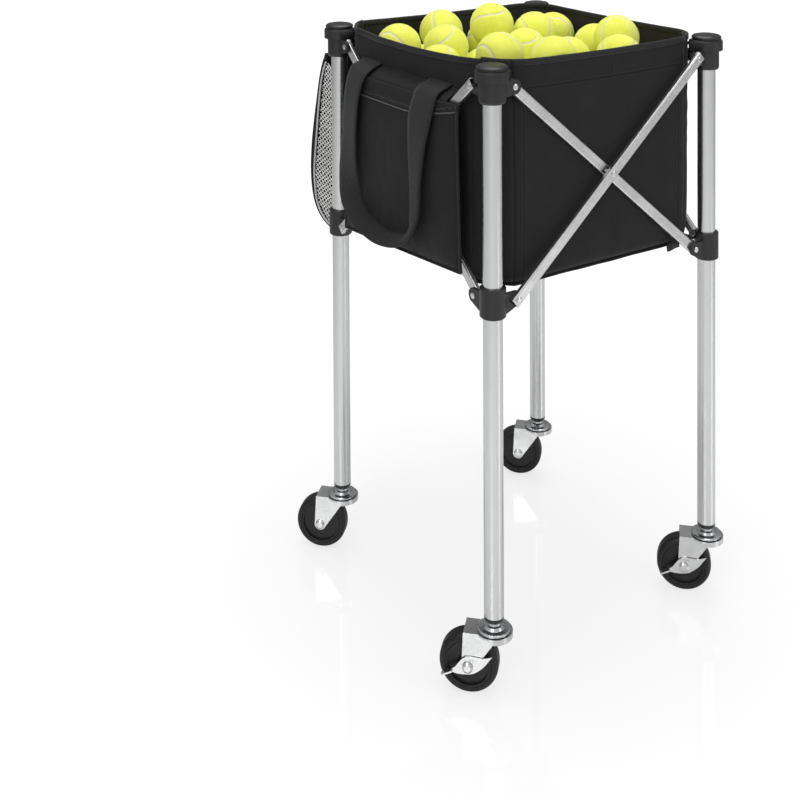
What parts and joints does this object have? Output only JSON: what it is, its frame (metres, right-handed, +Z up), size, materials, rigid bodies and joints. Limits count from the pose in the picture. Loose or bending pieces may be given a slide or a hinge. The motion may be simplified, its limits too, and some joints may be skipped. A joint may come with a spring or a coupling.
{
  "type": "folding ball cart",
  "caption": "Folding four-legged cart on swivel casters, with scissor-braced sides and a square fabric hopper holding a heap of balls.",
  "frame": {"origin": "on the floor, midway between the four leg axes", "axes": "+Z up; -Y is the plain front side of the hopper, +Y the side with the mesh pocket, -X the side with the zipped pocket"},
  "size_m": [0.4592, 0.5049, 0.8156],
  "materials": {
    "leg_aluminium": "satin anodised tube, fine drawing marks along its length",
    "bar_aluminium": "satin pressed channel with brighter rounded edges",
    "hub_plastic": "moulded black plastic, half gloss, fine grain",
    "stem_metal": "zinc-plated race and collar below a black plastic tube plug",
    "caster_zinc": "bright zinc plate on pressed steel",
    "axle_steel": "bright zinc plate",
    "rivet_steel": "bright domed rivet heads",
    "wheel_rubber": "hard black rubber, smooth tread with a faint sheen",
    "bag_fabric": "black woven polyester, plain weave",
    "pocket_fabric": "black woven polyester faces with open diamond mesh ends",
    "webbing": "black ribbed webbing",
    "ball_felt": "yellow felt nap with pale curved seams"
  },
  "bodies": {
    "front_left_leg": {"front_left_tube": "leg_aluminium", "front_left_hub": "hub_plastic", "front_left_caster_stem": "stem_metal", "front_bag_panel": "bag_fabric", "left_bag_panel": "bag_fabric", "zip_pocket": "bag_fabric", "left_handle": "webbing"},
    "front_right_leg": {"front_right_tube": "leg_aluminium", "front_right_hub": "hub_plastic", "front_right_caster_stem": "stem_metal", "right_bag_panel": "bag_fabric", "right_handle": "webbing"},
    "back_right_leg": {"back_right_tube": "leg_aluminium", "back_right_hub": "hub_plastic", "back_right_caster_stem": "stem_metal"},
    "back_left_leg": {"back_left_tube": "leg_aluminium", "back_left_hub": "hub_plastic", "back_left_caster_stem": "stem_metal", "back_bag_panel": "bag_fabric", "mesh_pocket": "pocket_fabric"},
    "front_inner_bar": {"front_inner_bar": "bar_aluminium", "front_inner_bar_rivets": "rivet_steel"},
    "front_outer_bar": {"front_outer_bar": "bar_aluminium", "front_outer_bar_rivets": "rivet_steel"},
    "right_inner_bar": {"right_inner_bar": "bar_aluminium", "right_inner_bar_rivets": "rivet_steel"},
    "right_outer_bar": {"right_outer_bar": "bar_aluminium", "right_outer_bar_rivets": "rivet_steel"},
    "back_inner_bar": {"back_inner_bar": "bar_aluminium", "back_inner_bar_rivets": "rivet_steel"},
    "back_outer_bar": {"back_outer_bar": "bar_aluminium", "back_outer_bar_rivets": "rivet_steel"},
    "left_inner_bar": {"left_inner_bar": "bar_aluminium", "left_inner_bar_rivets": "rivet_steel"},
    "left_outer_bar": {"left_outer_bar": "bar_aluminium", "left_outer_bar_rivets": "rivet_steel"},
    "front_left_sleeve": {"front_left_sleeve": "hub_plastic"},
    "front_right_sleeve": {"front_right_sleeve": "hub_plastic"},
    "back_right_sleeve": {"back_right_sleeve": "hub_plastic"},
    "back_left_sleeve": {"back_left_sleeve": "hub_plastic"},
    "front_left_fork": {"front_left_caster_fork": "caster_zinc", "front_left_caster_axle": "axle_steel"},
    "front_right_fork": {"front_right_caster_fork": "caster_zinc", "front_right_caster_axle": "axle_steel"},
    "back_right_fork": {"back_right_caster_fork": "caster_zinc", "back_right_caster_axle": "axle_steel"},
    "back_left_fork": {"back_left_caster_fork": "caster_zinc", "back_left_caster_axle": "axle_steel"},
    "front_left_wheel": {"front_left_caster_wheel": "wheel_rubber"},
    "front_right_wheel": {"front_right_caster_wheel": "wheel_rubber"},
    "back_right_wheel": {"back_right_caster_wheel": "wheel_rubber"},
    "back_left_wheel": {"back_left_caster_wheel": "wheel_rubber"},
    "front_left_brake": {"front_left_brake_lever": "caster_zinc"},
    "front_right_brake": {"front_right_brake_lever": "caster_zinc"},
    "bag_floor_front": {"bag_floor_front": "bag_fabric"},
    "bag_floor_back": {"bag_floor_back": "bag_fabric"},
    "ball_load": {"tennis_balls": "ball_felt"}
  },
  "joints": [
    {"name": "fold", "type": "hinge", "parent": "front_left_leg", "child": "front_inner_bar", "pos_m": [-0.1585, -0.1975, 0.7585], "axis": [0, 1, 0], "range_deg": [0, 46], "deforming": ["front_bag_panel", "right_bag_panel", "back_bag_panel", "left_bag_panel", "bag_floor_front", "bag_floor_back", "zip_pocket", "mesh_pocket", "left_handle", "right_handle", "tennis_balls"]},
    {"name": "front_crossing", "type": "hinge", "parent": "front_inner_bar", "child": "front_outer_bar", "pos_m": [0, -0.1975, 0.6255], "axis": [0, 1, 0], "range_deg": [-92, 0]},
    {"name": "front_right_hub_pivot", "type": "hinge", "parent": "front_outer_bar", "child": "front_right_leg", "pos_m": [0.1585, -0.1975, 0.7585], "axis": [0, 1, 0], "range_deg": [0, 46]},
    {"name": "front_right_sleeve_pivot", "type": "hinge", "parent": "front_inner_bar", "child": "front_right_sleeve", "pos_m": [0.1585, -0.1975, 0.4925], "axis": [0, 1, 0], "range_deg": [-46, 0]},
    {"name": "front_left_sleeve_pivot", "type": "hinge", "parent": "front_outer_bar", "child": "front_left_sleeve", "pos_m": [-0.1585, -0.1975, 0.4925], "axis": [0, 1, 0], "range_deg": [0, 46]},
    {"name": "left_hub_pivot", "type": "hinge", "parent": "front_left_leg", "child": "left_outer_bar", "pos_m": [-0.1975, -0.1585, 0.7585], "axis": [-1, 0, 0], "range_deg": [0, 46]},
    {"name": "left_crossing", "type": "hinge", "parent": "left_outer_bar", "child": "left_inner_bar", "pos_m": [-0.1975, 0, 0.6255], "axis": [-1, 0, 0], "range_deg": [-92, 0]},
    {"name": "back_left_hub_pivot", "type": "hinge", "parent": "left_inner_bar", "child": "back_left_leg", "pos_m": [-0.1975, 0.1585, 0.7585], "axis": [-1, 0, 0], "range_deg": [0, 46]},
    {"name": "back_left_sleeve_pivot", "type": "hinge", "parent": "left_outer_bar", "child": "back_left_sleeve", "pos_m": [-0.1975, 0.1585, 0.4925], "axis": [-1, 0, 0], "range_deg": [-46, 0]},
    {"name": "right_hub_pivot", "type": "hinge", "parent": "front_right_leg", "child": "right_inner_bar", "pos_m": [0.1975, -0.1585, 0.7585], "axis": [-1, 0, 0], "range_deg": [0, 46]},
    {"name": "right_crossing", "type": "hinge", "parent": "right_inner_bar", "child": "right_outer_bar", "pos_m": [0.1975, 0, 0.6255], "axis": [-1, 0, 0], "range_deg": [-92, 0]},
    {"name": "back_right_hub_pivot", "type": "hinge", "parent": "right_outer_bar", "child": "back_right_leg", "pos_m": [0.1975, 0.1585, 0.7585], "axis": [-1, 0, 0], "range_deg": [0, 46]},
    {"name": "back_right_sleeve_pivot", "type": "hinge", "parent": "right_inner_bar", "child": "back_right_sleeve", "pos_m": [0.1975, 0.1585, 0.4925], "axis": [-1, 0, 0], "range_deg": [-46, 0]},
    {"name": "back_inner_bar_pivot", "type": "hinge", "parent": "back_right_leg", "child": "back_inner_bar", "pos_m": [0.1585, 0.1975, 0.7585], "axis": [0, -1, 0], "range_deg": [0, 46]},
    {"name": "back_outer_bar_pivot", "type": "hinge", "parent": "back_left_leg", "child": "back_outer_bar", "pos_m": [-0.1585, 0.1975, 0.7585], "axis": [0, 1, 0], "range_deg": [0, 46]},
    {"name": "floor_front_lift", "type": "hinge", "parent": "front_left_leg", "child": "bag_floor_front", "pos_m": [-0.1666, -0.1666, 0.4995], "axis": [0.7071, -0.7071, 0], "range_deg": [0, 76.36]},
    {"name": "floor_back_lift", "type": "hinge", "parent": "back_right_leg", "child": "bag_floor_back", "pos_m": [0.1666, 0.1666, 0.4995], "axis": [-0.7071, 0.7071, 0], "range_deg": [0, 76.36]},
    {"name": "load_lift", "type": "slide", "parent": "front_left_leg", "child": "ball_load", "axis": [-0.5694, -0.5694, 0.5929], "range_m": [0, 0.253]},
    {"name": "front_left_swivel", "type": "hinge", "parent": "front_left_leg", "child": "front_left_fork", "pos_m": [-0.188, -0.188, 0.078], "axis": [0, 0, 1], "continuous": true},
    {"name": "front_left_roll", "type": "hinge", "parent": "front_left_fork", "child": "front_left_wheel", "pos_m": [-0.20992, -0.16608, 0.0375], "axis": [-0.7071, -0.7071, 0], "continuous": true},
    {"name": "front_right_swivel", "type": "hinge", "parent": "front_right_leg", "child": "front_right_fork", "pos_m": [0.188, -0.188, 0.078], "axis": [0, 0, 1], "continuous": true},
    {"name": "front_right_roll", "type": "hinge", "parent": "front_right_fork", "child": "front_right_wheel", "pos_m": [0.16608, -0.16608, 0.0375], "axis": [-0.7071, -0.7071, 0], "continuous": true},
    {"name": "back_right_swivel", "type": "hinge", "parent": "back_right_leg", "child": "back_right_fork", "pos_m": [0.188, 0.188, 0.078], "axis": [0, 0, 1], "continuous": true},
    {"name": "back_right_roll", "type": "hinge", "parent": "back_right_fork", "child": "back_right_wheel", "pos_m": [0.16608, 0.20992, 0.0375], "axis": [-0.7071, -0.7071, 0], "continuous": true},
    {"name": "back_left_swivel", "type": "hinge", "parent": "back_left_leg", "child": "back_left_fork", "pos_m": [-0.188, 0.188, 0.078], "axis": [0, 0, 1], "continuous": true},
    {"name": "back_left_roll", "type": "hinge", "parent": "back_left_fork", "child": "back_left_wheel", "pos_m": [-0.20992, 0.20992, 0.0375], "axis": [-0.7071, -0.7071, 0], "continuous": true},
    {"name": "front_left_brake_press", "type": "hinge", "parent": "front_left_fork", "child": "front_left_brake", "pos_m": [-0.20639, -0.16961, 0.0455], "axis": [-0.7071, -0.7071, 0], "range_deg": [0, 12]},
    {"name": "front_right_brake_press", "type": "hinge", "parent": "front_right_fork", "child": "front_right_brake", "pos_m": [0.16961, -0.16961, 0.0455], "axis": [-0.7071, -0.7071, 0], "range_deg": [0, 12]}
  ],
  "couplings": [
    {"joint": "front_crossing", "follows": "fold", "ratio": -2},
    {"joint": "front_right_hub_pivot", "follows": "fold", "ratio": 1},
    {"joint": "front_right_sleeve_pivot", "follows": "fold", "ratio": -1},
    {"joint": "front_left_sleeve_pivot", "follows": "fold", "ratio": 1},
    {"joint": "left_hub_pivot", "follows": "fold", "ratio": 1},
    {"joint": "left_crossing", "follows": "fold", "ratio": -2},
    {"joint": "back_left_hub_pivot", "follows": "fold", "ratio": 1},
    {"joint": "back_left_sleeve_pivot", "follows": "fold", "ratio": -1},
    {"joint": "right_hub_pivot", "follows": "fold", "ratio": 1},
    {"joint": "right_crossing", "follows": "fold", "ratio": -2},
    {"joint": "back_right_hub_pivot", "follows": "fold", "ratio": 1},
    {"joint": "back_right_sleeve_pivot", "follows": "fold", "ratio": -1},
    {"joint": "back_inner_bar_pivot", "follows": "fold", "ratio": 1},
    {"joint": "back_outer_bar_pivot", "follows": "fold", "ratio": 1},
    {"joint": "floor_front_lift", "follows": "fold", "ratio": 1.66},
    {"joint": "floor_back_lift", "follows": "fold", "ratio": 1.66},
    {"joint": "load_lift", "follows": "fold", "m_per_rad": 0.31512}
  ]
}
